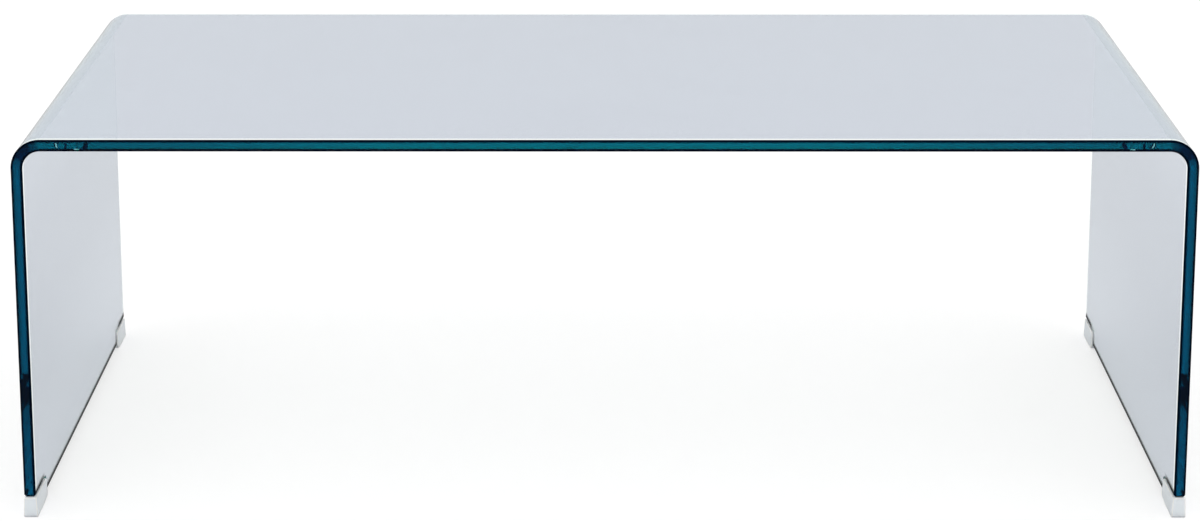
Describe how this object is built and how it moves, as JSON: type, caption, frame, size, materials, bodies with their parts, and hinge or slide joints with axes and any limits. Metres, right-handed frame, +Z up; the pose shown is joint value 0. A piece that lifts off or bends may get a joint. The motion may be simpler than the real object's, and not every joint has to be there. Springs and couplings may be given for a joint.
{
  "type": "waterfall coffee table",
  "caption": "Low coffee table of clear bent glass: the sheet turns down at its ends to form the legs, which stand on milky plastic feet bonded into notched lower corners.",
  "frame": {"origin": "on the floor, under the middle of the table", "axes": "+X along the length of the top, +Y to the rear, +Z up; the pictured side faces -Y"},
  "size_m": [1.2024, 0.7, 0.4],
  "materials": {
    "clear_glass": "hot-bent clear float glass with polished edges",
    "milky_plastic": "milky translucent, satin moulded surface",
    "clear_adhesive": "cured clear silicone film"
  },
  "bodies": {
    "root": {"bent_glass_sheet": "clear_glass", "foot_front_left": "milky_plastic", "foot_front_right": "milky_plastic", "foot_rear_left": "milky_plastic", "foot_rear_right": "milky_plastic", "bond_front_left": "clear_adhesive", "bond_front_right": "clear_adhesive", "bond_rear_left": "clear_adhesive", "bond_rear_right": "clear_adhesive"}
  },
  "joints": []
}
